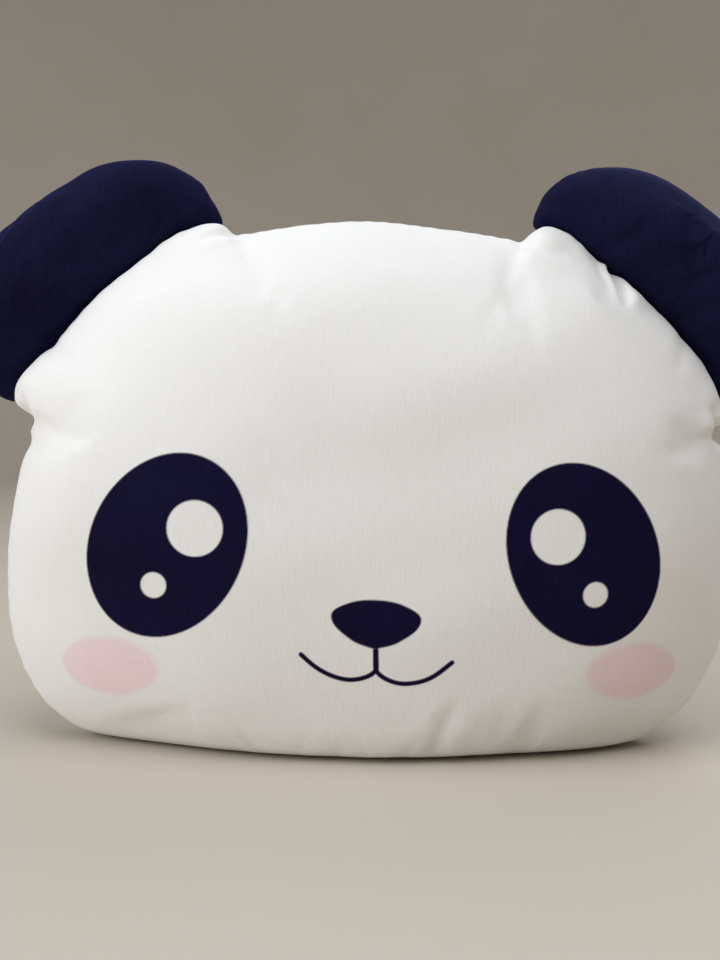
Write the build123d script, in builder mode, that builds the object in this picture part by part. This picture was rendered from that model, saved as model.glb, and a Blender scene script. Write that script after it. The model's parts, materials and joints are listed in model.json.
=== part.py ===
"""A stuffed panda-head cushion: a knitted cover in two panels, filled ears that flex, and a printed face.

Frame: +Z up, +X to the viewer's right, the face looks along -Y. The origin is on the floor, under the
middle of the cushion, which stands on its flattened base. Lengths are in millimetres and angles in degrees.
"""
import math
import os

from build123d import *

# The head: a front and a back panel sewn together in the plane Y = 0
head_width = 360.0
head_height = 257.0
head_half_thickness = 62.0
widest_at = 74.0            # height of the widest point
base_sink = 23.0            # how much of the round underside the weight flattens
base_half_length = 127.0    # half the length of the flattened underside
fabric = 1.2                # knitted cover
seam_allowance = 8.0        # cloth turned in along the seam
notch_in = 23.0             # depth of the two notches behind the ear's seam line
notch_top_out = 66.0        # the crown notch, along the ear's seam from its middle
notch_side_out = 64.0       # the flank notch, the same way down
stub_corner_round = 12.0
notch_round = 6.0

# The ears: each is a filled lobe sewn into the head seam
ear_seat_out = 130.0        # middle of the ear's seam, from the middle of the head
ear_seat_height = 223.0
ear_lean = 49.6             # how far the ear leans outwards, from horizontal
ear_seam_length = 110.0
ear_shift = 7.0             # how far the lobe sits down along its seam
ear_half_width = 75.0
ear_heel = 63.0             # half the straight edge of the ear along its seam
ear_height = 59.0
ear_widest_at = 8.0         # above its seam
ear_half_thickness = 24.0
ear_fabric = 0.9
ear_pinch = 45.0            # half angle of the wedge the ear closes to at its seam
ear_gap = 0.6               # clear length of folding cloth between head and ear
tab_depth = 6.5             # the ear's own allowance, caught inside the head seam
tab_thickness = 1.1         # both of its plies, pressed together
tab_clearance = 0.05

# The printed face, laid on the front panel
print_thickness = 0.3
print_clearance = 0.05
eye_out = 95.0
eye_height = 101.9
eye_half_long = 44.2
eye_half_short = 35.0
eye_tilt = 27.5             # the tops lean towards each other, from vertical
big_light = (81.8, 110.5, 12.9)    # unprinted round in the eye: outwards, height, radius
small_light = (100.7, 84.1, 6.1)
cheek_out = 123.8
cheek_height = 43.8
cheek_half_long = 24.0
cheek_half_short = 14.6
nose_half_width = 20.4
nose_top = 81.0
nose_shoulder = (12.5, 78.9)
nose_widest_at = 72.4
nose_jaw = (11.3, 62.1)
nose_bottom = 58.0
lip_line = 2.4              # width of the mouth line
lip_start = 47.2            # where the two halves of the mouth meet
lip_low = (12.4, 41.6)
lip_bend = (23.8, 44.7)
lip_end = (35.2, 53.3)

filling_clearance = 0.05

# How finely the curved panels are drawn
outline_spacing = 10.0
ear_outline_spacing = 8.0
crown_steps = 6
crown_end = 82.0            # degrees of the crown profile before its small flat
crown_roundness = 2.5       # 2 is an ellipse, more is fuller towards the rim

FRONT = Plane.XZ  # local x is X, local y is Z and the normal is -Y
ear_turn = math.radians(ear_lean)
ear_out = Vector(math.cos(ear_turn), 0, math.sin(ear_turn))     # away from the head
ear_down = Vector(math.sin(ear_turn), 0, -math.cos(ear_turn))   # along the seam towards the flank
ear_seat = Vector(ear_seat_out, 0, ear_seat_height)
ear_plane = Plane(origin=ear_seat, x_dir=ear_down, z_dir=(0, -1, 0))
lobe_plane = Plane(origin=ear_seat + ear_down * ear_shift, x_dir=ear_down, z_dir=(0, -1, 0))


def on_seam(down, out):
    """A place beside the right ear's seam, as X and Z."""
    place = ear_seat + ear_down * down + ear_out * out
    return (place.X, place.Z)


def near(corners, places):
    """The corners that lie on any of these places or on their mirror images."""
    return [c for c in corners if any(math.hypot(abs(c.X) - p[0], c.Y - p[1]) < 0.5 for p in places)]


def outline_points(face, spacing):
    """Points along the edge of a face, in order, with each edge divided evenly."""
    points = []
    for side in face.outer_wire().order_edges():
        count = max(2, math.ceil(side.length / spacing))
        points += [side.position_at(k / count) for k in range(count)]
    return points


def ring(points, centre, half_sizes, size, inset):
    """The outline at one size: near the crown it relaxes from the pattern to a plain ellipse."""
    places = []
    for point in points:
        reach = Vector(point.X - centre[0], point.Y - centre[1])
        angle = math.atan2(reach.Y, reach.X)
        ellipse = 1 / math.hypot(math.cos(angle) / half_sizes[0], math.sin(angle) / half_sizes[1])
        keep = size ** 3
        radius = size * (keep * reach.length + (1 - keep) * ellipse) - inset
        places.append((centre[0] + radius * math.cos(angle), centre[1] + radius * math.sin(angle)))
    return places


def closed_curve(points, places):
    """A smooth closed edge through the places, timed by the pattern's points so that stacked curves match."""
    share = [0.0]
    for k in range(len(points)):
        share.append(share[-1] + (points[(k + 1) % len(points)] - points[k]).length)
    return Edge.make_spline(places, periodic=True, parameters=share)


def cushion(plane, points, centre, half_sizes, half_thickness, inset):
    """A stuffed body: the outline shrinks as a superellipse from the seam to the crown on both sides."""
    rise = half_thickness - inset
    with BuildPart() as body:
        for k in range(-crown_steps, crown_steps + 1):
            turn = math.radians(crown_end * math.sin(math.pi / 2 * k / crown_steps))
            size = math.cos(turn) ** (2 / crown_roundness)
            with BuildSketch(plane.offset(rise * math.sin(turn))):
                with BuildLine():
                    add(closed_curve(points, ring(points, centre, half_sizes, size, inset)))
                make_face()
        loft()
    return body.part


# The head's outline, with a straight stub for each ear between two notches
stub_top = on_seam(-ear_seam_length / 2, 0)
stub_side = on_seam(ear_seam_length / 2, 0)
notch_top = on_seam(-notch_top_out, -notch_in)
notch_side = on_seam(notch_side_out, -notch_in)
with BuildSketch(Plane.XY) as head_outline:
    with BuildLine():
        Spline((0, head_height), notch_top, tangents=((1, 0), (1, -0.25)))
        Polyline(notch_top, stub_top, stub_side, notch_side)
        Spline(notch_side, (head_width / 2, widest_at), tangents=((0.35, -1), (0, -1)))
        Spline((head_width / 2, widest_at), (base_half_length, 0), (0, -base_sink), tangents=((0, -1), (-1, 0)))
        mirror(about=Plane.YZ)
    make_face()
    fillet(near(head_outline.vertices(), [stub_top, stub_side]), stub_corner_round)
    fillet(near(head_outline.vertices(), [notch_top, notch_side]), notch_round)
head_points = outline_points(head_outline.sketch.faces()[0], outline_spacing)
head_centre = (0, (head_height - base_sink) / 2)
head_half_sizes = (head_width / 2, (head_height + base_sink) / 2)


def head_body(inset):
    """The head's rounded body, drawn in all round by the inset."""
    return cushion(FRONT, head_points, head_centre, head_half_sizes, head_half_thickness, inset)


# The ear's outline in its own plane: local x runs down the seam and local y away from the head
ear_shoulder = 0.74
with BuildSketch(Plane.XY) as ear_outline:
    with BuildLine():
        Spline(
            (0, ear_height),
            (ear_shoulder * ear_half_width, ear_widest_at + ear_shoulder * (ear_height - ear_widest_at)),
            (ear_half_width, ear_widest_at),
            tangents=((1, 0), (0, -1)),
        )
        Spline((ear_half_width, ear_widest_at), (ear_heel, ear_gap), tangents=((0, -1), (-1, 0)))
        Line((ear_heel, ear_gap), (0, ear_gap))
        mirror(about=Plane.YZ)
    make_face()
ear_points = outline_points(ear_outline.sketch.faces()[0], ear_outline_spacing)
ear_centre = (0, (ear_height + ear_gap) / 2 - 2)
ear_half_sizes = (ear_half_width, ear_height / 2)


def ear_body(inset):
    """The right ear's filled lobe, drawn in by the inset and pinched to a wedge at its seam."""
    lobe = cushion(lobe_plane, ear_points, ear_centre, ear_half_sizes, ear_half_thickness, inset)
    slope = math.tan(math.radians(ear_pinch))
    reach = 2 * ear_height
    tip = ear_seat + ear_out * (inset / math.sin(math.radians(ear_pinch)))
    with BuildPart() as body:
        with BuildSketch(Plane(origin=tip, x_dir=ear_out, z_dir=ear_down)):
            Polygon((0, 0), (reach, reach * slope), (reach, -reach * slope), align=None)
        extrude(amount=2 * ear_half_width, both=True)
        add(lobe, mode=Mode.INTERSECT)
    return body.part


# The space inside the cover, and the seam allowances turned into it
head_outside = head_body(0)
with BuildPart() as head_inside:
    add(head_body(fabric))
    split(bisect_by=Plane.XY.offset(fabric), keep=Keep.TOP)


def seam_sheet(inset, floor, half_thickness):
    """A flat sheet in the seam plane, inside the outline by the inset and standing on the floor height."""
    edge = closed_curve(head_points, ring(head_points, head_centre, head_half_sizes, 1, inset))
    with BuildPart() as sheet:
        with BuildSketch(FRONT):
            add(Face(Wire([edge])))
            with Locations((0, floor)):
                Rectangle(2 * head_width, head_height, align=(Align.CENTER, Align.MAX), mode=Mode.SUBTRACT)
        extrude(amount=half_thickness, both=True)
    return sheet.part


def allowance(edge, depth, floor, half_thickness):
    """A flat frame in the seam plane that follows the outline and the base, on both sides of the seam."""
    with BuildPart() as frame:
        add(seam_sheet(edge, floor, half_thickness))
        add(seam_sheet(depth, depth, 2 * half_thickness), mode=Mode.SUBTRACT)
    return frame.part




def ear_strip(clearance):
    """The ear's own seam allowance, a flat strip that hangs from the right ear's seam into the head."""
    with BuildPart() as strip:
        with BuildSketch(ear_plane):
            with Locations((0, clearance - 0.1)):
                Rectangle(
                    ear_seam_length - 2 * stub_corner_round + 2 * clearance,
                    tab_depth + 2 * clearance,
                    align=(Align.CENTER, Align.MAX),
                )
        extrude(amount=tab_thickness / 2 + clearance, both=True)
    return strip.part


# The ears' strips are caught between the two panels
with BuildPart() as right_ear_tab:
    add(ear_strip(0))
right_ear_tab.part.label = "right_ear_tab"
with BuildPart() as left_ear_tab:
    add(mirror(right_ear_tab.part, about=Plane.YZ))
left_ear_tab.part.label = "left_ear_tab"
with BuildPart() as tab_slots:
    add(ear_strip(tab_clearance))
    add(mirror(ear_strip(tab_clearance), about=Plane.YZ))

# The cover's two panels, which are cut from the same pattern, leave room for the ears' strips between them
with BuildPart() as front_allowance:
    add(allowance(fabric / 2, seam_allowance, 0, fabric))
    split(bisect_by=Plane.XZ, keep=Keep.TOP)
    add(tab_slots.part, mode=Mode.SUBTRACT)
with BuildPart() as face_panel:
    add(head_outside)
    split(bisect_by=Plane.XZ, keep=Keep.TOP)
    split(bisect_by=Plane.XY, keep=Keep.TOP)
    add(head_inside.part, mode=Mode.SUBTRACT)
    add(tab_slots.part, mode=Mode.SUBTRACT)
    add(front_allowance.part)
face_panel.part.label = "face_panel"
with BuildPart() as back_panel:
    add(mirror(face_panel.part, about=Plane.XZ))
back_panel.part.label = "back_panel"

# The filling takes the space inside, with a slot for the allowances
filling_inset = fabric + filling_clearance
with BuildPart() as head_filling:
    add(head_body(filling_inset))
    split(bisect_by=Plane.XY.offset(filling_inset), keep=Keep.TOP)
    add(allowance(-fabric, seam_allowance + filling_clearance, 0, filling_inset), mode=Mode.SUBTRACT)
head_filling.part.label = "head_filling"

# The ears, cut the same way
with BuildPart() as right_ear_front_panel:
    add(ear_body(0))
    split(bisect_by=Plane.XZ, keep=Keep.TOP)
    add(ear_body(ear_fabric), mode=Mode.SUBTRACT)
right_ear_front_panel.part.label = "right_ear_front_panel"
with BuildPart() as right_ear_back_panel:
    add(mirror(right_ear_front_panel.part, about=Plane.XZ))
right_ear_back_panel.part.label = "right_ear_back_panel"
with BuildPart() as right_ear_filling:
    add(ear_body(ear_fabric + filling_clearance))
right_ear_filling.part.label = "right_ear_filling"
with BuildPart() as left_ear_front_panel:
    add(mirror(right_ear_front_panel.part, about=Plane.YZ))
left_ear_front_panel.part.label = "left_ear_front_panel"
with BuildPart() as left_ear_back_panel:
    add(mirror(right_ear_back_panel.part, about=Plane.YZ))
left_ear_back_panel.part.label = "left_ear_back_panel"
with BuildPart() as left_ear_filling:
    add(mirror(right_ear_filling.part, about=Plane.YZ))
left_ear_filling.part.label = "left_ear_filling"

# The printed face: each shape is cut from a film that follows the front panel
film_outside = head_body(-print_clearance - print_thickness)
film_inside = head_body(-print_clearance)
print_plane = FRONT.offset(head_half_thickness / 4)
print_reach = head_half_thickness
with BuildPart() as left_eye_print:
    with BuildSketch(print_plane):
        with Locations((-eye_out, eye_height)):
            Ellipse(eye_half_long, eye_half_short, rotation=90 - eye_tilt)
        with Locations((-big_light[0], big_light[1])):
            Circle(big_light[2], mode=Mode.SUBTRACT)
        with Locations((-small_light[0], small_light[1])):
            Circle(small_light[2], mode=Mode.SUBTRACT)
    extrude(amount=print_reach)
    add(film_outside, mode=Mode.INTERSECT)
    add(film_inside, mode=Mode.SUBTRACT)
left_eye_print.part.label = "left_eye_print"
with BuildPart() as right_eye_print:
    add(mirror(left_eye_print.part, about=Plane.YZ))
right_eye_print.part.label = "right_eye_print"
with BuildPart() as left_cheek_print:
    with BuildSketch(print_plane):
        with Locations((-cheek_out, cheek_height)):
            Ellipse(cheek_half_long, cheek_half_short)
    extrude(amount=print_reach)
    add(film_outside, mode=Mode.INTERSECT)
    add(film_inside, mode=Mode.SUBTRACT)
left_cheek_print.part.label = "left_cheek_print"
with BuildPart() as right_cheek_print:
    add(mirror(left_cheek_print.part, about=Plane.YZ))
right_cheek_print.part.label = "right_cheek_print"
nose_side = (nose_half_width, nose_widest_at)
with BuildPart() as nose_print:
    with BuildSketch(print_plane):
        with BuildLine():
            Spline((0, nose_top), nose_shoulder, nose_side, tangents=((1, 0), (-0.05, -1)))
            Spline(nose_side, nose_jaw, (0, nose_bottom), tangents=((-0.05, -1), (-1, -0.3)))
            mirror(about=Plane.YZ)
        make_face()
    extrude(amount=print_reach)
    add(film_outside, mode=Mode.INTERSECT)
    add(film_inside, mode=Mode.SUBTRACT)
nose_print.part.label = "nose_print"
with BuildPart() as mouth_print:
    with BuildSketch(print_plane):
        with BuildLine():
            Spline((0, lip_start), lip_low, lip_bend, lip_end, tangents=((0.45, -1), (0.65, 1)))
        trace(line_width=lip_line)
        with Locations(lip_end, (0, lip_start)):
            Circle(lip_line / 2)
        mirror(about=Plane.YZ)
        with Locations((0, lip_start)):
            Rectangle(lip_line, nose_bottom - lip_start - 0.6, align=(Align.CENTER, Align.MIN))
    extrude(amount=print_reach)
    add(film_outside, mode=Mode.INTERSECT)
    add(film_inside, mode=Mode.SUBTRACT)
mouth_print.part.label = "mouth_print"

os.makedirs("parts", exist_ok=True)
export_step(face_panel.part, "parts/face_panel.step")
export_step(back_panel.part, "parts/back_panel.step")
export_step(head_filling.part, "parts/head_filling.step")
export_step(left_ear_tab.part, "parts/left_ear_tab.step")
export_step(right_ear_tab.part, "parts/right_ear_tab.step")
export_step(left_ear_front_panel.part, "parts/left_ear_front_panel.step")
export_step(left_ear_back_panel.part, "parts/left_ear_back_panel.step")
export_step(left_ear_filling.part, "parts/left_ear_filling.step")
export_step(right_ear_front_panel.part, "parts/right_ear_front_panel.step")
export_step(right_ear_back_panel.part, "parts/right_ear_back_panel.step")
export_step(right_ear_filling.part, "parts/right_ear_filling.step")
export_step(left_eye_print.part, "parts/left_eye_print.step")
export_step(right_eye_print.part, "parts/right_eye_print.step")
export_step(left_cheek_print.part, "parts/left_cheek_print.step")
export_step(right_cheek_print.part, "parts/right_cheek_print.step")
export_step(nose_print.part, "parts/nose_print.step")
export_step(mouth_print.part, "parts/mouth_print.step")
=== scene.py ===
import json
import math

import bpy
import numpy as np
from mathutils import Matrix, Vector


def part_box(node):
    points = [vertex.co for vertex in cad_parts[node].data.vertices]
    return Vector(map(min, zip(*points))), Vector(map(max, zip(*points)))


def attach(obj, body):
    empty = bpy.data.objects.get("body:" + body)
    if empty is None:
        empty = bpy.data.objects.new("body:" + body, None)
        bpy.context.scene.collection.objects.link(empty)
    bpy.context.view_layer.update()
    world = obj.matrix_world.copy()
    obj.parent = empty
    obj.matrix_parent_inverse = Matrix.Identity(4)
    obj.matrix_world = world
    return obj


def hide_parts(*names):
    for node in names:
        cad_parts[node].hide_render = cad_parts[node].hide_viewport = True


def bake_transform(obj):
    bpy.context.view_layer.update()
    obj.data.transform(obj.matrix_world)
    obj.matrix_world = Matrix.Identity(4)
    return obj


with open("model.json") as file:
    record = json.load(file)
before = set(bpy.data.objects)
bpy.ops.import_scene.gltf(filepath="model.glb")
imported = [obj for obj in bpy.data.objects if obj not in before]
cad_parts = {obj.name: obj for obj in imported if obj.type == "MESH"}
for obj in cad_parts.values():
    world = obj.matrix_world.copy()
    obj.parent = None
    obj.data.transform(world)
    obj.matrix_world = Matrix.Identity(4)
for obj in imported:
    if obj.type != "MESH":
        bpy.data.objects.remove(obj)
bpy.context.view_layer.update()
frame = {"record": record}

scene = bpy.context.scene
mm = 0.001
print("frame loaded")


# colours, nodes and meshes

def linear(hexColour):
    # sRGB hex to linear light: v / 12.92 up to 0.04045, above it ((v + 0.055) / 1.055) to the power 2.4
    srgb = np.array([int(hexColour[i:i + 2], 16) for i in (1, 3, 5)]) / 255
    light = np.where(srgb <= 0.04045, srgb / 12.92, ((srgb + 0.055) / 1.055) ** 2.4)
    return (*light.tolist(), 1.0)


def addNode(tree, kind, values=None, links=None, **settings):
    # one node with its properties, its input values by name, and its links as input name to output socket
    node = tree.nodes.new(kind)
    for key, value in settings.items():
        setattr(node, key, value)
    for key, value in (values or {}).items():
        node.inputs[key].default_value = value
    for key, socket in (links or {}).items():
        tree.links.new(socket, node.inputs[key])
    return node


def newMaterial(name):
    material = bpy.data.materials.new(name)
    material.use_nodes = True
    material.node_tree.nodes.clear()
    return material, material.node_tree


def makePiece(name, points, quads, material):
    # a mesh from an array of points and an array of quads, smooth shaded
    mesh = bpy.data.meshes.new(name)
    mesh.from_pydata(points.tolist(), [], quads.tolist())
    mesh.polygons.foreach_set("use_smooth", np.ones(len(quads), dtype=bool))
    mesh.update()
    piece = bpy.data.objects.new(name, mesh)
    scene.collection.objects.link(piece)
    if material:
        piece.data.materials.append(material)
    return piece


def readPoints(mesh):
    flat = np.empty(len(mesh.vertices) * 3)
    mesh.vertices.foreach_get("co", flat)
    return flat.reshape(-1, 3)


def bake(piece):
    # the piece's modifiers become its mesh
    graph = bpy.context.evaluated_depsgraph_get()
    mesh = bpy.data.meshes.new_from_object(piece.evaluated_get(graph))
    piece.modifiers.clear()
    piece.data = mesh


def gridQuads(rows, columns, start=0):
    # quads of a grid of points stored row by row
    first = start + np.arange(rows - 1)[:, None] * columns + np.arange(columns - 1)[None, :]
    return np.stack([first, first + columns, first + columns + 1, first + 1], -1).reshape(-1, 4)


# outlines, all in millimetres

def hermite(start, end, leave, arrive, count=40):
    # cubic from start to end: its slopes are the two directions times the chord's length
    t = np.linspace(0, 1, count, endpoint=False)[:, None]
    start, end = np.array(start, float), np.array(end, float)
    chord = np.linalg.norm(end - start)
    leave = np.array(leave, float) / np.linalg.norm(leave) * chord
    arrive = np.array(arrive, float) / np.linalg.norm(arrive) * chord
    return ((2 * t**3 - 3 * t**2 + 1) * start + (t**3 - 2 * t**2 + t) * leave
            + (3 * t**2 - 2 * t**3) * end + (t**3 - t**2) * arrive)


def throughKnots(knots, first=None, last=None, closed=False):
    # a smooth line through the knots: each slope is that of the line between its two neighbours
    knots = np.array(knots, float)
    slopes = np.roll(knots, -1, axis=0) - np.roll(knots, 1, axis=0)
    if not closed:
        slopes[0], slopes[-1] = first or knots[1] - knots[0], last or knots[-1] - knots[-2]
    runs = [hermite(*knots[[k - 1, k]], *slopes[[k - 1, k]]) for k in range(0 if closed else 1, len(knots))]
    return np.vstack(runs + ([] if closed else [knots[-1:]]))


def softened(outline, radius, spacing=0.5):
    # a closed line resampled at an even spacing and averaged with a bell curve, which rounds its corners
    closed = np.vstack([outline, outline[:1]])
    reach = np.concatenate([[0], np.cumsum(np.linalg.norm(np.diff(closed, axis=0), axis=1))])
    count = int(reach[-1] / spacing)
    even = np.linspace(0, reach[-1], count, endpoint=False)
    line = np.stack([np.interp(even, reach, closed[:, k]) for k in (0, 1)], -1)
    waves = np.fft.fftfreq(count, spacing)[:, None]
    bell = np.exp(-2 * (math.pi * radius * waves) ** 2)
    return np.fft.ifft(np.fft.fft(line, axis=0) * bell, axis=0).real


def polarRadius(outline, centre):
    # the outline as radius against angle about its centre
    reach = outline - np.array(centre)
    angle = np.arctan2(reach[:, 1], reach[:, 0])
    order = np.argsort(angle)
    angle, radius = angle[order], np.linalg.norm(reach, axis=1)[order]
    full = 2 * math.pi
    return lambda turn: np.interp(np.mod(turn + math.pi, full) - math.pi, angle, radius, period=full)


def nearest(points, line):
    # distance from each point to a line of samples, and how far along the line its nearest sample is
    gap = np.linalg.norm(points[:, None, :] - line[None], axis=2)
    return gap.min(1), gap.argmin(1) / (len(line) - 1)


# stuffed bodies

def discGrid(cells):
    # a square grid bent to a disc with no pole: the radius is the larger of the two sides, and the angle is
    # an eighth turn times the smaller over the larger
    side = np.linspace(-1, 1, cells + 1)
    a, b = np.meshgrid(side, side, indexing="ij")
    wide = np.abs(a) >= np.abs(b)
    with np.errstate(divide="ignore", invalid="ignore"):
        turnWide = math.pi / 4 * np.nan_to_num(b / a) + np.where(a < 0, math.pi, 0)
        turnTall = math.pi / 2 - math.pi / 4 * np.nan_to_num(a / b) + np.where(b < 0, math.pi, 0)
    return np.where(wide, np.abs(a), np.abs(b)), np.where(wide, turnWide, turnTall)


def stuffedPanels(outline, centre, halfSizes, halfDepth, fullness, cells, groove):
    # The disc's radius r gives a size s, the sine of r quarter turns. The rim follows the outline, and
    # further in it relaxes to an ellipse as s to the tenth power falls. The depth is halfDepth times the
    # root of one less s to the power of fullness, and a bell-shaped groove runs where the panels meet.
    r, turn = discGrid(cells)
    s = np.sin(math.pi / 2 * r)
    ellipse = 1 / np.hypot(np.cos(turn) / halfSizes[0], np.sin(turn) / halfSizes[1])
    rimShare = s**10
    radius = s * (rimShare * polarRadius(outline, centre)(turn) + (1 - rimShare) * ellipse)
    depth = halfDepth * np.sqrt(np.maximum(1 - s**fullness, 0))
    radius = radius - groove[0] * np.exp(-(depth / groove[1]) ** 2)
    return centre[0] + radius * np.cos(turn), centre[1] + radius * np.sin(turn), depth


def joinPanels(across, up, depth):
    # front and back share their rim: points in millimetres, then the front's quads and the back's
    cells = across.shape[0]
    rim = np.zeros((cells, cells), dtype=bool)
    rim[[0, -1], :] = True
    rim[:, [0, -1]] = True
    front = np.stack([across, -depth, up], -1).reshape(-1, 3)
    back = np.stack([across, depth, up], -1).reshape(-1, 3)
    backIndex = np.arange(cells * cells)
    backIndex[~rim.ravel()] = cells * cells + np.arange((~rim).sum())
    frontQuads = gridQuads(cells, cells)
    return np.vstack([front, back[~rim.ravel()]]), frontQuads, backIndex[frontQuads][:, ::-1]


def outwardNormals(points, quads):
    # each quad's normal is the cross product of its diagonals, summed at its four corners
    corners = points[quads]
    faceNormals = np.cross(corners[:, 2] - corners[:, 0], corners[:, 3] - corners[:, 1])
    normals = np.zeros_like(points)
    for k in range(4):
        np.add.at(normals, quads[:, k], faceNormals)
    return normals / np.linalg.norm(normals, axis=1, keepdims=True)


def rounded(points, quads):
    # one Catmull-Clark step: each quad becomes four, kept in the quads' order
    piece = makePiece("rounding", points, quads, None)
    piece.modifiers.new("round", "SUBSURF").levels = 1
    bake(piece)
    corners = np.empty(len(piece.data.loops), dtype=np.int64)
    piece.data.loops.foreach_get("vertex_index", corners)
    points = readPoints(piece.data)
    bpy.data.objects.remove(piece, do_unlink=True)
    return points, corners.reshape(-1, 4)


def lumpField(points, seed, shortest, longest, waves=24):
    # a sum of plane waves in seeded directions and phases, mostly between -1 and 1
    chance = np.random.default_rng(seed)
    directions = chance.normal(size=(waves, 3))
    directions /= np.linalg.norm(directions, axis=1, keepdims=True)
    lengths = chance.uniform(shortest, longest, waves)
    phases = chance.uniform(0, 2 * math.pi, waves)
    perMillimetre = directions * (2 * math.pi / lengths[:, None])
    return np.sin(points @ perMillimetre.T + phases).sum(1) / math.sqrt(waves)


def riseField(points, place, radius, height):
    # a round rise: height times the bell of the distance over the radius
    away = np.linalg.norm(points[:, [0, 2]] - np.array(place), axis=1)
    return height * np.exp(-(away / radius) ** 2)


# the roll beside a valley, in the valley's depths and widths
creaseRoll = dict(height=0.3, away=2.4, width=1.2)


def creaseField(points, knots, width, depth):
    # a valley along a bent line: a bell across it with a low roll on each side, and it fades to its far end
    away, along = nearest(points[:, [0, 2]], throughKnots(knots))
    beside = (away - creaseRoll["away"] * width) / (creaseRoll["width"] * width)
    roll = creaseRoll["height"] * np.exp(-beside**2)
    return depth * np.cos(math.pi / 2 * along**2) * (roll - np.exp(-(away / width) ** 2))


# the simulated cloth: kg a point, steps a frame, then its springs
coverCloth = dict(mass=0.15, quality=6, stiffness=18, shear=6, bending=0.4)


def inflate(points, quads, swell, tight, held=None):
    # the cover swells as cloth under pressure, and each move m is capped, to cap times tanh of m over cap
    piece = makePiece("swelling", points * mm, quads, None)
    for name, weights in (("tight", tight), ("held", held)):
        if weights is not None:
            group = piece.vertex_groups.new(name=name)
            for weight in np.unique(weights[weights > 0]):
                group.add(np.flatnonzero(weights == weight).tolist(), float(weight), "REPLACE")
    settings = piece.modifiers.new("cloth", "CLOTH").settings
    settings.quality = coverCloth["quality"]
    settings.mass = coverCloth["mass"]
    settings.tension_stiffness = coverCloth["stiffness"]
    settings.compression_stiffness = coverCloth["stiffness"]
    settings.shear_stiffness = coverCloth["shear"]
    settings.bending_stiffness = coverCloth["bending"]
    settings.use_pressure = True
    settings.uniform_pressure_force = swell["pressure"]
    settings.effector_weights.gravity = 0
    settings.vertex_group_shrink = "tight"
    settings.shrink_max = swell["gather"]
    if held is not None:
        settings.vertex_group_mass = "held"
    for step in range(1, swell["frames"] + 1):
        scene.frame_set(step)
    graph = bpy.context.evaluated_depsgraph_get()
    swollen = readPoints(piece.evaluated_get(graph).to_mesh()) / mm
    scene.frame_set(1)
    bpy.data.objects.remove(piece, do_unlink=True)
    move = swollen - points
    length = np.linalg.norm(move, axis=1, keepdims=True) + 1e-9   # never quite zero
    print(f"  swelled by {length.max():.2f} mm at most and {np.median(length):.2f} mm in the middle")
    return points + move * swell["cap"] * np.tanh(length / swell["cap"]) / length


def keepRim(points, swollen, centre, rim):
    # The seam goes back to its outline: the rim's move in X and Z at the same angle about the middle is taken
    # off every point, times the fourth power of the point's distance from the middle over the rim's.
    flat = points[:, [0, 2]] - centre
    turn, reach = np.arctan2(flat[:, 1], flat[:, 0]), np.linalg.norm(flat, axis=1)
    share = (reach / np.interp(turn, turn[rim], reach[rim], period=2 * math.pi)) ** 4
    kept = swollen.copy()
    for axis in (0, 2):
        kept[:, axis] -= share * np.interp(turn, turn[rim], (swollen - points)[rim, axis], period=2 * math.pi)
    return kept


def usedPoints(points, quads):
    # only the points that the quads use, renumbered
    used = np.zeros(len(points), dtype=bool)
    used[quads] = True
    return points[used], (np.cumsum(used) - 1)[quads]


def sewnPiece(name, points, quads, material, thickness):
    # a cover panel with the cloth's thickness turned inwards
    points, quads = usedPoints(points, quads)
    piece = makePiece(name, points * mm, quads, material)
    solid = piece.modifiers.new("cloth thickness", "SOLIDIFY")
    solid.thickness = thickness * mm
    solid.offset = -1
    return piece


# the head's cover

joints = {joint["name"]: joint for joint in frame["record"]["behaviour"]["joints"]}
rightFlex = joints["right_ear_flex"]
seat = np.array(rightFlex["pos_m"])[[0, 2]] / mm   # middle of the right ear's seam
seamDown = np.array(rightFlex["axis"])[[0, 2]]     # down along that seam
earOut = np.array([-seamDown[1], seamDown[0]])     # away from the head

head = dict(
    # all in mm: the outline of the head's right half in X and Z, which the left mirrors
    crown=[(0, 257.8), (35, 255.4), (56, 252.4), (66, 250.4)],
    flank=[(179.5, 88), (178, 56), (166, 24), (149, 8.5), (110, -10), (60, -20)], belly=-23,
    lean=-1.0,               # the left flank stands out more than the right by twice this
    halfSizes=(180, 140), halfDepth=61.5, fullness=2.9,
    softness=1.4,            # the outline's corners are rounded over this
    groove=(1.6, 2.4),       # depth and half width of the groove along the seam
    lumps=0.6, lumpLengths=(45, 120), lumpSeed=4,   # unevenness of the filling
    swell=dict(pressure=4.0, gather=0.05, frames=20, cap=4.0),
    gatherReach=5.0,         # how far from the seam the cloth is gathered
    restHeight=7.0,          # the cloth below this is pressed towards the floor
    cells=112, clothThickness=1.2,
    fibreSunk=3.0,           # how far under the cover's outside the filling starts
)
headCentre = np.array([0.0, 117.0])

# The ears' seams from the crown's notch to the flank's, 1 for the right and -1 for the left: down the seam
# from its middle, and out from the hinge line. The white cover is rounded to a knob at each end.
seams = {
    1: [(-62.3, -17.6), (-62.4, -12.3), (-60.8, -6), (-55, -1.8), (-46, 0.6), (-38, 0.4), (-20, 0.8),
        (0, 0.9), (19, 0.8), (33, -0.1), (45, -1.9), (55, -6.8), (62, -10), (69, -12.5), (72.5, -15.5),
        (70.5, -18.7), (69.5, -21), (69.8, -24.5)],
    -1: [(-62, -17), (-61.6, -13), (-59.6, -8), (-51, -3.2), (-40, 0.5), (-27, 1.1), (-18, 0.5), (-8, 0.8),
         (7, 1.3), (21, 0.1), (34, -2.1), (41, -3.6), (48, -3.1), (54, -3.5), (64, -5.5), (70, -9),
         (73.2, -13.6), (72.6, -16.8), (70, -20.2), (69.9, -24)],
}
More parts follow.
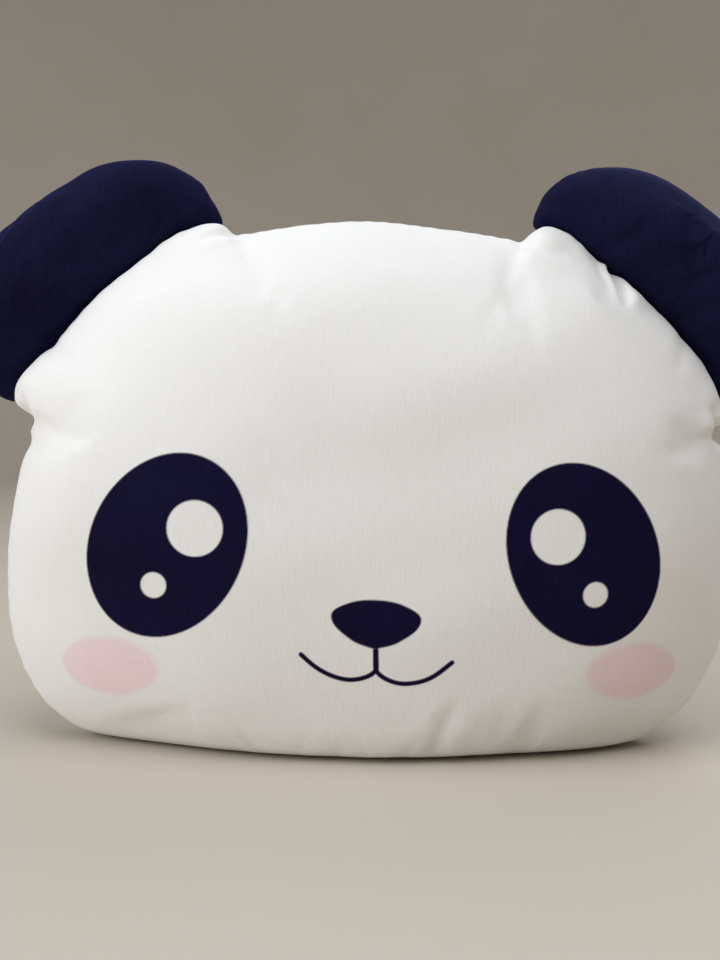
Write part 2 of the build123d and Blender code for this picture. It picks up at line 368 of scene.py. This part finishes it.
# the cover's edge below each notch: X, towards the outside, and Z
underNotch = {
    1: [(171, 154), (173.6, 147), (176.3, 126)],
    -1: [(167.4, 155), (167.4, 150), (167.9, 145), (170.9, 140.5), (172.8, 135), (175.6, 122)],
}


def onSeam(places):
    # X and Z of places beside the right ear's seam
    places = np.asarray(places, float)
    return seat + places[..., :1] * seamDown + places[..., 1:] * earOut


def headOutline():
    # the crown, the seam, the flank and the belly of each half, in one closed line
    halves = {}
    for side in (1, -1):
        flank = np.array(head["flank"]) + (side * head["lean"], 0)
        halves[side] = np.vstack([head["crown"][1:], onSeam(seams[side]), underNotch[side], flank])
    knots = np.vstack([head["crown"][:1], halves[1], [(0, head["belly"])], halves[-1][::-1] * (-1, 1)])
    return softened(throughKnots(knots, closed=True), head["softness"])


headFolds = dict(
    clear=7.0,       # folds grow over this distance from the seam
    rimShare=0.12,   # what is left of a crease at the seam itself, while a rise leaves the silhouette alone
    backShare=0.6,   # the back panel gathers less
    # where the filling pushes out beside the seams: place, radius, height
    rises=[
        ((80, 249), 8, 1.4), ((-84, 248), 9, 1.2), ((165, 180), 8, 1.4), ((-168, 176), 8, 1.4),
        ((123, 222), 6.0, 2.4), ((-125, 216), 22, 1.2), ((138, 207), 22, 1.4),
    ],
    # where the cloth gathers at the notches and the seams: line, half width, depth
    creases=[
        ([(69, 248), (78, 243.5), (90, 240)], 2.6, 1.5),
        ([(-71, 249.5), (-80, 247), (-89, 244)], 2.0, 1.8),
        ([(169, 159), (167, 166), (163, 174)], 3.6, 3.6),
        ([(168, 157), (164, 151), (165, 142)], 4.0, 0.8),
        ([(30, 7), (32.5, 16), (36, 26), (39, 35)], 4.0, 1.0),
        ([(-166, 157), (-169, 163), (-171.5, 170)], 2.2, 2.4),
        ([(113.5, 237), (115, 232.5), (116.5, 226.5), (117.5, 217)], 1.8, 4.6),
        ([(104.7, 242.5), (108.4, 234), (111.7, 224.5)], 3.4, 0.9),
        ([(150, 205), (146, 196), (140, 186)], 3.4, 0.7),
        ([(-110, 238), (-107, 228), (-103, 216)], 3.4, 0.6),
        ([(-158, 193), (-151, 187), (-143, 182)], 3.2, 0.7),
    ],
)
puckers = dict(   # small gathers all along the seam, in mm
    height=0.16, length=11.0,
    radius=170,                           # the seam's mean distance from the middle
    away=3.0, reach=5.0,                  # where they are highest, and how far they spread
    waver=2.5, waverLengths=(20, 60), seed=6,
)


def puckered(points):
    # along the seam the cloth ripples: a sine of the way round the middle, uneven in its length, times a bell
    # of the distance from the seam
    turn = np.arctan2(points[:, 2] - headCentre[1], points[:, 0])
    uneven = puckers["waver"] * lumpField(points * (1, 0, 1), puckers["seed"], *puckers["waverLengths"])
    ripple = turn * puckers["radius"] / puckers["length"] * 2 * math.pi + uneven
    away = np.abs(points[:, 1]) - puckers["away"]
    return puckers["height"] * np.sin(ripple) * np.exp(-(away / puckers["reach"]) ** 2)


def restOnFloor(points, height, reach=3, spread=0.05):
    # Below the given height h the cloth is pressed flat: z becomes h times the exponential of z over h less
    # one. Its depth widens by up to the spread, over twice the reach in heights.
    up = points[:, 2]
    pressed = np.where(up < height, height * np.exp(np.minimum(up / height - 1, 0)), up)
    widened = 1 + spread * np.clip((height * reach - up) / (2 * height * reach), 0, 1)
    return np.stack([points[:, 0], points[:, 1] * widened, pressed], -1)


def gathered(points, reach):
    # how much the cloth is gathered: a bell of the distance from the seam, in steps of a hundredth
    return np.round(np.exp(-(points[:, 1] / reach) ** 2), 2)


def makeHeadCover():
    # panels, lumps, swelling, one rounding, then the folds and the flattened base
    across, up, depth = stuffedPanels(headOutline(), headCentre, head["halfSizes"], head["halfDepth"],
                                      head["fullness"], head["cells"], head["groove"])
    points, frontQuads, backQuads = joinPanels(across, up, depth)
    quads = np.vstack([frontQuads, backQuads])
    lumps = head["lumps"] * lumpField(points, head["lumpSeed"], *head["lumpLengths"])
    points = points + lumps[:, None] * outwardNormals(points, quads)
    swollen = inflate(points, quads, head["swell"], gathered(points, head["gatherReach"]))
    points = keepRim(points, swollen, headCentre, np.intersect1d(frontQuads, backQuads))
    points, quads = rounded(points, quads)
    clear = 1 - np.exp(-(points[:, 1] / headFolds["clear"]) ** 2)
    share = np.where(points[:, 1] > 0, headFolds["backShare"], 1.0)
    rise = puckered(points)
    for place, radius, height in headFolds["rises"]:
        rise += share * clear * riseField(points, place, radius, height)
    kept = headFolds["rimShare"]
    for knots, width, valley in headFolds["creases"]:
        rise += share * (kept + (1 - kept) * clear) * creaseField(points, knots, width, valley)
    points = points + rise[:, None] * outwardNormals(points, quads)
    return restOnFloor(points, head["restHeight"]), quads


# materials

knit = dict(
    wale=1.4,         # mm between the ribs of the knit, drawn about twice as coarse as real so that they show
    course=8.0,       # mm over which a rib wavers
    pile=0.55,        # mm, grain of the short pile
)


def addKnitRelief(tree, ribHeight, pileHeight):
    # Upright ribs: noise stretched along Z. Pile: fine noise on top. Both as bumps on Object coordinates.
    place = addNode(tree, "ShaderNodeTexCoord")
    wales, courses = 1 / (knit["wale"] * mm), 1 / (knit["course"] * mm)   # to the metre
    stretch = addNode(tree, "ShaderNodeMapping", values={"Scale": (wales, wales, courses)},
                      links={"Vector": place.outputs["Object"]})
    ribs = addNode(tree, "ShaderNodeTexNoise", values={"Scale": 1.0, "Detail": 3.0, "Roughness": 0.6},
                   links={"Vector": stretch.outputs["Vector"]})
    pile = addNode(tree, "ShaderNodeTexNoise", values={"Scale": 1 / (knit["pile"] * mm), "Detail": 2.0},
                   links={"Vector": place.outputs["Object"]})
    ribBump = addNode(tree, "ShaderNodeBump", values={"Strength": 0.7, "Distance": ribHeight * mm},
                      links={"Height": ribs.outputs["Fac"]})
    pileBump = addNode(tree, "ShaderNodeBump", values={"Strength": 0.6, "Distance": pileHeight * mm},
                       links={"Height": pile.outputs["Fac"], "Normal": ribBump.outputs["Normal"]})
    return place, ribs, pile, pileBump


def knitMaterial(name, light, dark, roughness, sheen, sheenTint, ribHeight, pileHeight, patch):
    # polyester velboa, warp knitted and sheared: a matt cloth whose short pile catches light at its edges
    material, tree = newMaterial(name)
    place, ribs, pile, relief = addKnitRelief(tree, ribHeight, pileHeight)
    cloud = addNode(tree, "ShaderNodeTexNoise", values={"Scale": 1 / (patch * mm), "Detail": 2.0},
                    links={"Vector": place.outputs["Object"]})
    # the colour follows the ribs' noise, which is also their height, so the valleys between the ribs are
    # painted darker and their ridges lighter: painted shade and light of the ribs, mixed with tone that
    # differs at random over broad patches
    blendShade = addNode(tree, "ShaderNodeMix", data_type="FLOAT", values={"Factor": 0.45},
                         links={"A": ribs.outputs["Fac"], "B": cloud.outputs["Fac"]})
    shade = addNode(tree, "ShaderNodeMapRange", values={"From Min": 0.35, "From Max": 0.65},
                    links={"Value": blendShade.outputs["Result"]})
    colour = addNode(tree, "ShaderNodeMix", data_type="RGBA", links={"Factor": shade.outputs["Result"]})
    colour.inputs["A"].default_value = linear(dark)
    colour.inputs["B"].default_value = linear(light)
    shader = addNode(tree, "ShaderNodeBsdfPrincipled",
                     values={"Roughness": roughness, "IOR": 1.45, "Specular IOR Level": 0.12,
                             "Sheen Weight": sheen, "Sheen Roughness": 0.45, "Sheen Tint": linear(sheenTint)},
                     links={"Base Color": colour.outputs["Result"], "Normal": relief.outputs["Normal"]})
    addNode(tree, "ShaderNodeOutputMaterial", links={"Surface": shader.outputs["BSDF"]})
    return material


def inkMaterial(name, light, dark, sheenTint, cloth):
    # dye sublimed into the knit: as matt as the cloth, and it bleeds a little, so its edge fades to the cloth
    material = knitMaterial(name, light, dark, roughness=0.85, sheen=0.15, sheenTint=sheenTint,
                            ribHeight=0.22, pileHeight=0.10, patch=50)
    tree = material.node_tree
    shader = next(node for node in tree.nodes if node.type == "BSDF_PRINCIPLED")
    ink = shader.inputs["Base Color"].links[0].from_socket
    strength = addNode(tree, "ShaderNodeAttribute", attribute_name="ink")
    bleed = addNode(tree, "ShaderNodeMix", data_type="RGBA", links={"Factor": strength.outputs["Fac"]})
    bleed.inputs["A"].default_value = linear(cloth)
    tree.links.new(ink, bleed.inputs["B"])
    tree.links.new(bleed.outputs["Result"], shader.inputs["Base Color"])
    return material


# heights and patches in mm: ribs and pile as bumps, and patches where the pile lies another way
whiteKnit = knitMaterial("white velboa knit", "#f3f2f0", "#efedea", roughness=0.85, sheen=0.2,
                         sheenTint="#ffffff", ribHeight=0.22, pileHeight=0.10, patch=60)
navyKnit = knitMaterial("navy velboa knit", "#121536", "#0b0625", roughness=0.8, sheen=0.28,
                        sheenTint="#3848a0", ribHeight=0.2, pileHeight=0.12, patch=40)
navyInk = inkMaterial("navy sublimation ink on knit", "#100d31", "#0c0727",
                      sheenTint="#4040a0", cloth="#f1efed")
pinkInk = inkMaterial("pink sublimation ink on knit", "#f6e1e3", "#f1d9dc",
                      sheenTint="#ffffff", cloth="#f1efed")
# loose crimped fibre, matt and uneven, seen nowhere while the cover is whole
fibre = knitMaterial("polyester fibre filling", "#f4f4f2", "#dcdcd8", roughness=0.95, sheen=0.5,
                     sheenTint="#ffffff", ribHeight=0.6, pileHeight=0.3, patch=15)
print("materials ready")

headPoints, headQuads = makeHeadCover()
frontHalf, backHalf = np.split(headQuads, 2)
faceCover = sewnPiece("face_cover", headPoints, frontHalf, whiteKnit, head["clothThickness"])
backCover = sewnPiece("back_cover", headPoints, backHalf, whiteKnit, head["clothThickness"])


# how far the filling's edge is drawn in, and the least radius for that, both in sinkings
fibreEdge = dict(pull=1.5, core=3.0)


def fibrePiece(name, points, quads, middle, sunk):
    # The filling's outside is the cover's points drawn towards the middle in X and Z by the pull times the
    # sinking, and in Y by less the thinner it is, to the depth squared over the depth plus the sinking.
    reach = points[:, [0, 2]] - middle
    apart = np.linalg.norm(reach, axis=1, keepdims=True).clip(fibreEdge["core"] * sunk)
    inward = 1 - fibreEdge["pull"] * sunk / apart
    deep = points[:, 1] * np.abs(points[:, 1]) / (np.abs(points[:, 1]) + sunk)
    inside = np.insert(middle + reach * inward, 1, deep, axis=1)
    piece = makePiece(name, inside * mm, quads, fibre)
    return piece


headFibre = fibrePiece("head_fibre", headPoints, headQuads, headCentre, head["fibreSunk"])
for piece, node, cloth in ((faceCover, "face_panel", "white_knit"), (backCover, "back_panel", "white_knit"),
                           (headFibre, "head_filling", "filling")):
    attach(piece, "head")
    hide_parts(node)
print("head cover sewn and filled")


# the ears

ear = dict(
    # beside the seam: the middle and half the length down it, and heights out from the hinge line
    middle=7.7, halfLength=74.5, top=56.0, base=-14.0,
    tuck=4.5,                                # the ear's own allowance inside the head's seam
    seamShort=4,                             # the closing line stops this short of the free edge's ends
    softness=1.6,                            # the outline's corners are rounded over this
    halfDepth=24.0, fullness=2.4, groove=(0.8, 1.6),
    seamHalfThickness=1.2, pinchSlope=0.95,  # half thickness at the seam, and how fast it grows beyond
    pinchEnds=(-62, 70),                     # between these the cloth below the seam keeps that thickness
    # unevenness of the filling: none at the hinge line, and all of it at the rise
    lumps=0.8, lumpLengths=(35, 80), lumpRise=12,
    swell=dict(pressure=3.0, gather=0.04, frames=18, cap=2.5),
    gatherReach=4.0, held=1.5,               # gathered near the seam, and held still below this height
    cells=72, clothThickness=0.9, fibreSunk=2.6,
    bend=(-2.0, 9.0),                        # from the hinge line to where the cloth starts and ends its turn
)
earMiddle = np.array([ear["middle"], (ear["top"] + ear["base"]) / 2])
# each ear's free edge from its crown end, over its top, to its flank end, in the same frame
earEdges = {
    1: [(-60, -11), (-65, -9), (-68.8, -3), (-70.6, 6), (-70, 15), (-67.3, 24.5), (-60.6, 33.8),
        (-50, 42.8), (-38, 49), (-26, 52.5), (-8, 55.6), (10, 56.4), (28, 55), (44, 51), (58, 44),
        (70, 33), (78, 19), (80, 5), (77, -8), (70, -17)],
    -1: [(-57, -12), (-61.5, -10.5), (-64, -4), (-65.2, 6), (-63.4, 16.5), (-58, 28), (-50, 35.6),
         (-38, 43.5), (-26, 48.6), (-10, 52.4), (8, 53.2), (24, 54.3), (40, 52.5), (56, 46.5), (69, 36),
         (78, 21), (80.5, 5), (77.5, -8), (72.5, -15.5)],
}
earFolds = {  # creases on each ear in its own frame: line, half width, depth
    1: [([(-30, 6), (-26, 16), (-24, 30)], 3.5, 1.2), ([(20, 4), (24, 14), (30, 24)], 4.0, 1.2)],
    -1: [([(-14, 56), (-16, 46), (-14, 34)], 9.0, 1.1), ([(40, 0), (38, 12), (34, 24)], 4.0, 1.4)],
}


def earOutline(side):
    # the free edge through its knots, closed along the head's seam by a line a tuck inside it
    edge = throughKnots(earEdges[side])
    seam = throughKnots(seams[side])
    between = (seam[:, 0] > edge[0, 0] + ear["seamShort"]) & (seam[:, 0] < edge[-1, 0] - ear["seamShort"])
    return softened(np.vstack([edge, (seam[between] - (0, ear["tuck"]))[::-1]]), ear["softness"])


def makeEar(side, seed):
    # the ear's own frame is down the seam, depth, and out of the seam; side is 1 for right and -1 for left
    halfSizes = (ear["halfLength"], (ear["top"] - ear["base"]) / 2)
    down, out, depth = stuffedPanels(earOutline(side), earMiddle, halfSizes, ear["halfDepth"],
                                     ear["fullness"], ear["cells"], ear["groove"])
    # The pinch: the depth stays under a wedge that opens from the seam. The smooth minimum of the two is
    # their product over the fourth root of the sum of their fourth powers.
    seam = throughKnots(seams[side])
    flat = np.stack([down.ravel(), out.ravel()], -1)
    away = nearest(flat, seam)[0].reshape(down.shape)
    firstEnd, lastEnd = ear["pinchEnds"]
    inside = (out < np.interp(down, seam[:, 0], seam[:, 1])) & (down > firstEnd) & (down < lastEnd)
    wedge = ear["seamHalfThickness"] + ear["pinchSlope"] * np.where(inside, 0, away)
    depth = depth * wedge / (depth**4 + wedge**4) ** 0.25
    points, frontQuads, backQuads = joinPanels(down, out, depth)
    quads = np.vstack([frontQuads, backQuads])
    lumps = ear["lumps"] * lumpField(points, seed, *ear["lumpLengths"])
    grown = np.clip(points[:, 2:] / ear["lumpRise"], 0, 1)
    points = points + lumps[:, None] * outwardNormals(points, quads) * grown
    held = np.where(points[:, 2] < ear["held"], 1.0, 0.0)
    swollen = inflate(points, quads, ear["swell"], gathered(points, ear["gatherReach"]), held)
    points = keepRim(points, swollen, earMiddle, np.intersect1d(frontQuads, backQuads))
    points, quads = rounded(points, quads)
    rise = np.zeros(len(points))
    for knots, width, valley in earFolds[side]:
        rise += creaseField(points, knots, width, valley)
    points = points + rise[:, None] * outwardNormals(points, quads)
    placed = onSeam(points[:, [0, 2]])
    points = np.stack([side * placed[:, 0], points[:, 1], placed[:, 1]], -1)
    return points, quads if side > 0 else quads[:, ::-1]


# the allowance of an ear: its lower and upper edge are measured from the seam
tab = dict(halfLength=50, stations=40, halfThickness=0.55, lower=-6.0, upper=-0.8)


def makeTab(name, side):
    # a thin loop of cloth carried along the seam, inside the head's seam, and closed at its ends
    down = np.linspace(-tab["halfLength"], tab["halfLength"], tab["stations"])
    seam = throughKnots(seams[side])
    line = np.interp(down, seam[:, 0], seam[:, 1])
    thin, lower, upper = tab["halfThickness"], tab["lower"], tab["upper"]
    loop = np.array([(thin, lower), (thin, upper), (-thin, upper), (-thin, lower)])
    count = len(loop)
    flat = onSeam(np.stack([np.repeat(down, count), (line[:, None] + loop[:, 1]).ravel()], -1))
    points = np.stack([side * flat[:, 0], np.tile(loop[:, 0], tab["stations"]), flat[:, 1]], -1)
    corner = np.arange(count)
    onward = np.roll(corner, -1)
    ring = np.stack([corner, onward, onward + count, corner + count], -1)
    starts = count * np.arange(tab["stations"])[:, None, None]
    quads = np.vstack([(starts[:-1] + ring).reshape(-1, 4), corner[::-1], starts[-1, 0] + corner])
    return makePiece(name, points * mm, quads if side > 0 else quads[:, ::-1], navyKnit)


def finishEar(word, side, seed):
    # two panels and the filling, and the allowance that stays in the head
    body = f"{word}_ear"
    points, quads = makeEar(side, seed)
    frontQuads, backQuads = np.split(quads, 2)
    thick = ear["clothThickness"]
    front = sewnPiece(f"{body}_front", points, frontQuads, navyKnit, thick)
    back = sewnPiece(f"{body}_back", points, backQuads, navyKnit, thick)
    filled = fibrePiece(f"{body}_fibre", points, quads, onSeam(earMiddle) * (side, 1), ear["fibreSunk"])
    pieces = ((front, "front_panel", "navy_cloth"), (back, "back_panel", "navy_cloth"),
              (filled, "filling", "filling"))
    for piece, node, cloth in pieces:
        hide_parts(f"{body}_{node}")
        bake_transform(piece)
    allowance = makeTab(f"{body}_allowance", side)
    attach(allowance, "head")
    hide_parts(f"{body}_tab")


finishEar("left", side=-1, seed=21)
finishEar("right", side=1, seed=8)
print("ears sewn and filled")


# the printed face: each shape is a signed distance, below zero inside

# Sizes in mm, angles in degrees. A shift is how far the left (-1) or the right (1) one was printed off its
# place, a cell is the film's grid, and the bleed is how far its edge fades.
eye = dict(
    long=44.2, short=35.0, tilt=27.5, shift={-1: (0, 0.5), 1: (-0.1, 0.1)}, cell=0.5, bleed=0.7,
    bigLight=(13.2, 8.7, 12.6), smallLight=(-5.5, -17.8, 5.9),   # towards the middle, up, radius
)
cheek = dict(long=23.6, short=14.2, shift={-1: (0.8, 0.1), 1: (-0.8, 1.9)}, cell=0.9, bleed=2.4)
nose = dict(   # its right half, outwards and up
    top=80.9, shoulder=(12.5, 78.9), side=(20.4, 72.4), jaw=(11.3, 62.1), bottom=58.0, softness=0.6,
    margin=1, cell=0.45, bleed=0.7,
)
mouth = dict(
    line=2.3, stemLine=2.7, shift=1.4, stemLean=0.7, overlap=0.8,   # the stem starts this far inside the nose
    # the knots of the lip at the right, outwards and up, and how much higher the left one's are
    lip=[(0, 48.3), (5.4, 43.9), (13.9, 42.3), (24.5, 45.3), (34.3, 53.4)],
    leftLift=[0, 0.3, 0.7, 1.1, 0.3],
    samples=40, margin=(2, 1), cell=0.36, bleed=0.5,
)
snout = dict(middle=(0.4, 64.0), turn=-1.8)   # the nose and the mouth were printed a little askew
film = dict(
    lift=0.06, thickness=0.05,
    before=-90.0,            # the Y that the film is laid on from
    border=3,                # cells round the shape
    steps=4, probe=0.02,     # steps of the edge onto its outline, and the length that slopes are taken over
    leastSlope=0.3,          # squared, so that no step overshoots
)


def boxCentre(node):
    # X and Z of the middle of a node's box
    low, high = np.array(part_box(node)) / mm
    return ((low + high) / 2)[[0, 2]]


def ellipseDistance(x, y, long, short):
    # q over its slope, where q is x over long squared plus y over short squared, less one
    q = (x / long) ** 2 + (y / short) ** 2 - 1
    return q / (2 * np.hypot(x / long**2, y / short**2) + 1e-9)   # no division by zero in the middle


def eyeShape(side):
    centre = boxCentre("left_eye_print" if side < 0 else "right_eye_print") + eye["shift"][side]
    lean = math.radians(90 - eye["tilt"])
    longWay = np.array([-side * math.cos(lean), math.sin(lean)])
    shortWay = np.array([longWay[1], -longWay[0]])

    def distance(points):
        # the largest of the ellipse's distance and the two lights', taken negative so that they stay bare
        reach = points - centre
        result = ellipseDistance(reach @ longWay, reach @ shortWay, eye["long"], eye["short"])
        for inwards, up, radius in (eye["bigLight"], eye["smallLight"]):
            middle = centre + (-side * inwards, up)
            result = np.maximum(result, radius - np.linalg.norm(points - middle, axis=-1))
        return result

    return distance, centre, (eye["long"], eye["long"])


def cheekShape(side):
    centre = boxCentre("left_cheek_print" if side < 0 else "right_cheek_print") + cheek["shift"][side]

    def distance(points):
        reach = points - centre
        return ellipseDistance(reach[..., 0], reach[..., 1], cheek["long"], cheek["short"])

    return distance, centre, (cheek["long"], cheek["short"])


def turned(points, degrees):
    # points turned about the snout's middle
    c, s = math.cos(math.radians(degrees)), math.sin(math.radians(degrees))
    return (np.asarray(points, float) - snout["middle"]) @ np.array([[c, s], [-s, c]]) + snout["middle"]


def noseShape():
    # The outline is level at the top, nearly upright at the sides and blunt at the bottom. Its distance is
    # measured along the radius.
    level, upright, blunt = (1, 0), (-0.05, -1), (-1, -0.3)
    upper = throughKnots([(0, nose["top"]), nose["shoulder"], nose["side"]], level, upright)
    lower = throughKnots([nose["side"], nose["jaw"], (0, nose["bottom"])], upright, blunt)
    right = np.vstack([upper, lower])
    outline = softened(np.vstack([right, right[::-1] * (-1, 1)]), nose["softness"])
    centre = np.array([0, (nose["top"] + nose["bottom"]) / 2])
    radius = polarRadius(outline, centre)

    def distance(points):
        reach = turned(points, -snout["turn"]) - centre
        return np.linalg.norm(reach, axis=-1) - radius(np.arctan2(reach[..., 1], reach[..., 0]))

    half = np.array([nose["side"][0], (nose["top"] - nose["bottom"]) / 2])
    return distance, centre, half + nose["margin"]


def mouthShape():
    # two lips and a stem: the distance to the nearest of the lines, less half its width
    right = np.array(mouth["lip"])
    left = right + np.stack([np.zeros(len(right)), mouth["leftLift"]], -1)
    downhill, uphill = (2, -3.8), (9, 8)
    lips = [throughKnots(knots, downhill, uphill) for knots in (right, left)]
    lips = np.vstack([lips[0], lips[1] * (-1, 1)]) + (mouth["shift"], 0)
    stemTop = nose["bottom"] + mouth["overlap"] - mouth["stemLine"] / 2
    stemEnds = np.array([(mouth["shift"], right[0, 1]), (mouth["shift"] - mouth["stemLean"], stemTop)])
    stem = np.linspace(*stemEnds, mouth["samples"])
    low = right[:, 1].min() - 2 * mouth["line"]
    centre = np.array([0, (low + nose["bottom"]) / 2])

    def distance(points):
        flat = turned(points, -snout["turn"]).reshape(-1, 2)
        toLips = nearest(flat, lips)[0] - mouth["line"] / 2
        toStem = nearest(flat, stem)[0] - mouth["stemLine"] / 2
        return np.minimum(toLips, toStem).reshape(points.shape[:-1])

    half = np.array([right[-1, 0], (nose["bottom"] - low) / 2])
    return distance, centre, half + mouth["margin"]


def inkFilm(name, node, shape, look, material, beside=None):
    # Cells whose middle is inside the outline, drawn half the bleed wider, are kept. Points on the film's
    # edge step along the distance's slope onto it. The ink's strength grows from 0 there to 1 over the
    # bleed, and stays 1 where the shape beside it takes over. The flat film is laid on the cover along Y,
    # then thickened.
    outline, centre, half = shape
    cell, bleed = look["cell"], look["bleed"]
    border = film["border"] * cell
    xs, zs = [np.arange(centre[k] - half[k] - border, centre[k] + half[k] + border, cell) for k in (0, 1)]
    points = np.stack(np.meshgrid(xs, zs, indexing="ij"), -1)

    def distance(places):
        return outline(places) - bleed / 2

    middles = (points[:-1, :-1] + points[1:, 1:]) / 2
    quads = gridQuads(len(xs), len(zs))[(distance(middles) < 0).ravel()]
    flat, quads = usedPoints(points.reshape(-1, 2), quads)
    edge = np.bincount(quads.ravel(), minlength=len(flat)) < 4
    probes = film["probe"] * np.eye(2)
    for step in range(film["steps"]):
        here = flat[edge]
        value = distance(here)
        slope = np.stack([distance(here + probe) - value for probe in probes], -1) / film["probe"]
        steepness = np.maximum((slope**2).sum(1), film["leastSlope"])[:, None]
        flat[edge] = here - value[:, None] * slope / steepness
    piece = makePiece(name, np.insert(flat, 1, film["before"], axis=1) * mm, quads, material)
    strength = piece.data.attributes.new("ink", "FLOAT", "POINT")
    depth = distance(flat) if beside is None else np.minimum(distance(flat), beside[0](flat) - bleed / 2)
    strength.data.foreach_set("value", np.clip(-depth / bleed, 0, 1).astype(np.float32))
    lay = piece.modifiers.new("lay on the cover", "SHRINKWRAP")
    lay.wrap_method = "PROJECT"
    lay.use_project_y = True
    lay.use_positive_direction = True
    lay.use_negative_direction = False
    lay.target = faceCover
    lay.wrap_mode = "ABOVE_SURFACE"
    lay.offset = film["lift"] * mm
    bake(piece)
    normals = np.empty(len(flat) * 3)
    piece.data.vertices.foreach_get("normal", normals)
    normals = normals.reshape(-1, 3)
    solid = piece.modifiers.new("ink thickness", "SOLIDIFY")
    solid.thickness = film["thickness"] * mm
    solid.offset = -1
    bake(piece)
    # the film's edge is shaded as the cloth under it, so that it casts no line of light
    piece.data.normals_split_custom_set_from_vertices(np.vstack([normals, -normals]).tolist())
    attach(piece, "head")
    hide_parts(node)


inkFilm("left_eye_ink", "left_eye_print", eyeShape(-1), eye, navyInk)
inkFilm("right_eye_ink", "right_eye_print", eyeShape(1), eye, navyInk)
inkFilm("left_cheek_ink", "left_cheek_print", cheekShape(-1), cheek, pinkInk)
inkFilm("right_cheek_ink", "right_cheek_print", cheekShape(1), cheek, pinkInk)
inkFilm("nose_ink", "nose_print", noseShape(), nose, navyInk, beside=mouthShape())
inkFilm("mouth_ink", "mouth_print", mouthShape(), mouth, navyInk, beside=noseShape())
print("face printed")


# floor, light and camera

stageLook = dict(
    light="#cdc4b7", dark="#c5bbad",
    flat=2.2, bend=1.0, height=2.0,   # metres: the floor's radius, the rounding's and the wall's top
    steps=24, cells=120,
)


def makeStage():
    # a profile of flat floor, quarter round and wall, turned round Z
    turn = np.linspace(0, math.pi / 2, stageLook["steps"])
    out = stageLook["flat"] + stageLook["bend"] * np.sin(turn)
    up = stageLook["bend"] * (1 - np.cos(turn))
    profile = np.stack([[0, *out, out[-1]], [0, *up, stageLook["height"]]], -1)
    along = np.concatenate([[0], np.cumsum(np.linalg.norm(np.diff(profile, axis=0), axis=1))])
    r, angle = discGrid(stageLook["cells"])
    reach, rise = [np.interp(r * along[-1], along, profile[:, k]) for k in (0, 1)]
    points = np.stack([reach * np.cos(angle), reach * np.sin(angle), rise], -1).reshape(-1, 3)
    # smooth trowelled plaster: matt, with broad faint clouds
    material, tree = newMaterial("pale plaster floor")
    place = addNode(tree, "ShaderNodeTexCoord")
    mottle = addNode(tree, "ShaderNodeTexNoise", values={"Scale": 3.0, "Detail": 4.0},
                     links={"Vector": place.outputs["Object"]})
    colour = addNode(tree, "ShaderNodeMix", data_type="RGBA", links={"Factor": mottle.outputs["Fac"]})
    colour.inputs["A"].default_value = linear(stageLook["light"])
    colour.inputs["B"].default_value = linear(stageLook["dark"])
    shader = addNode(tree, "ShaderNodeBsdfPrincipled", values={"Roughness": 0.9, "Specular IOR Level": 0.2},
                     links={"Base Color": colour.outputs["Result"]})
    addNode(tree, "ShaderNodeOutputMaterial", links={"Surface": shader.outputs["BSDF"]})
    floor = makePiece("pale_floor", points, gridQuads(*r.shape), material)


makeStage()
middle = Vector((0, 0, 0.123))   # what the lights and the camera point at
lamps = dict(                    # metres and watts
    window=dict(place=(-1.6, -0.95, 0.8), size=1.0, power=20.5, colour="#f5faff"),
    ceiling=dict(place=(0.22, -0.55, 1.75), size=1.4, power=18, colour="#f7faff"),
    back=dict(place=(0.9, 1.3, 1.9), size=1.4, power=12, colour="#f7faff"),
)
room = dict(colour="#eff3f7", strength=0.33)


def addLight(name, place, size, power, colour):
    lamp = bpy.data.lights.new(name, "AREA")
    lamp.size = size
    lamp.energy = power
    lamp.color = linear(colour)[:3]
    light = bpy.data.objects.new(name, lamp)
    light.location = place
    light.rotation_euler = (middle - Vector(place)).to_track_quat("-Z", "Y").to_euler()
    scene.collection.objects.link(light)


for name, lamp in lamps.items():
    addLight(name, **lamp)
world = bpy.data.worlds.new("room")
world.use_nodes = True
background = world.node_tree.nodes["Background"]
background.inputs["Color"].default_value = linear(room["colour"])
background.inputs["Strength"].default_value = room["strength"]
scene.world = world
scene.view_settings.view_transform = "Standard"

# angles in degrees, the distance in metres, the lens in mm and its shift in parts of the frame
view = dict(azimuth=-1.96, elevation=3.89, roll=1.42, distance=0.6, focal=45.0, shiftX=-0.0143, shiftY=0.0171)


def makeCamera():
    # the camera looks at the cushion's middle from its distance, azimuth and elevation, rolled a little
    a, e = math.radians(view["azimuth"]), math.radians(view["elevation"])
    back = Vector((math.sin(a) * math.cos(e), -math.cos(a) * math.cos(e), math.sin(e)))
    lens = bpy.data.cameras.new("camera")
    lens.lens = view["focal"]
    lens.sensor_width = 36.0
    lens.shift_x = view["shiftX"]
    lens.shift_y = view["shiftY"]
    lens.clip_start = 0.01
    camera = bpy.data.objects.new("camera", lens)
    camera.location = middle + view["distance"] * back
    turn = (-back).to_track_quat("-Z", "Y").to_matrix().to_4x4()
    turn = turn @ Matrix.Rotation(math.radians(view["roll"]), 4, "Z")
    camera.rotation_euler = turn.to_euler()
    scene.collection.objects.link(camera)
    scene.camera = camera


makeCamera()
print("stage, lights and camera set")
